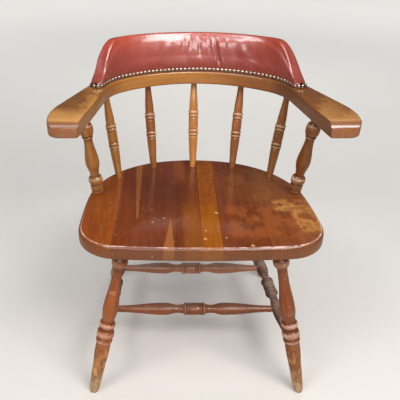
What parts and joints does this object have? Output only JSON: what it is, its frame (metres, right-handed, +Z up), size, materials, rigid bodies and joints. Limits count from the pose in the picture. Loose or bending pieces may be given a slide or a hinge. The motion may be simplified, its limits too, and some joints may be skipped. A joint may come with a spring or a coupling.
{
  "type": "wooden captain's chair",
  "caption": "Low-backed wooden captain's chair with turned splayed legs, stretchers, spindle back, sawn arm bow and a red leather crest edged with round-headed nails.",
  "frame": {"origin": "floor level under the middle of the chair's bounding box", "axes": "+X to the sitter's left, +Y to the back of the chair, +Z up; the sitter faces -Y"},
  "size_m": [0.6482, 0.4966, 0.767],
  "materials": {
    "seat_tan": "glossy lacquer",
    "seat_plum": "glossy lacquer",
    "seat_brown": "glossy lacquer",
    "seat_gold": "glossy lacquer",
    "leg_wood": "glossy lacquer, worn at the feet",
    "stretcher_wood": "glossy lacquer",
    "spindle_wood": "glossy lacquer",
    "bow_wood": "glossy lacquer",
    "plain_wood": "unfinished",
    "padding": "soft fill",
    "leather": "polished, creased",
    "nail_metal": "antiqued",
    "screw_steel": "zinc plated"
  },
  "bodies": {
    "root": {"seat_board_1": "seat_tan", "seat_board_2": "seat_plum", "seat_board_3": "seat_plum", "seat_board_4": "seat_brown", "seat_board_5": "seat_gold", "seat_board_6": "seat_gold", "seat_board_7": "seat_brown", "seat_board_8": "seat_brown", "seat_board_9": "seat_brown", "front_left_leg": "leg_wood", "front_right_leg": "leg_wood", "rear_left_leg": "leg_wood", "rear_right_leg": "leg_wood", "left_side_stretcher": "stretcher_wood", "right_side_stretcher": "stretcher_wood", "front_cross_stretcher": "stretcher_wood", "rear_cross_stretcher": "stretcher_wood", "middle_spindle": "spindle_wood", "inner_left_spindle": "spindle_wood", "inner_right_spindle": "spindle_wood", "outer_left_spindle": "spindle_wood", "outer_right_spindle": "spindle_wood", "left_arm_post": "spindle_wood", "right_arm_post": "spindle_wood", "left_arm": "bow_wood", "right_arm": "bow_wood", "bow_dowel_front": "plain_wood", "bow_dowel_rear": "plain_wood", "crest_core": "plain_wood", "crest_padding": "padding", "crest_leather": "leather", "nails_front_left": "nail_metal", "nails_front_middle": "nail_metal", "nails_front_right": "nail_metal", "nails_back_left": "nail_metal", "nails_back_middle": "nail_metal", "nails_back_right": "nail_metal", "crest_screw_1": "screw_steel", "crest_screw_2": "screw_steel", "crest_screw_3": "screw_steel", "crest_screw_4": "screw_steel"}
  },
  "joints": []
}
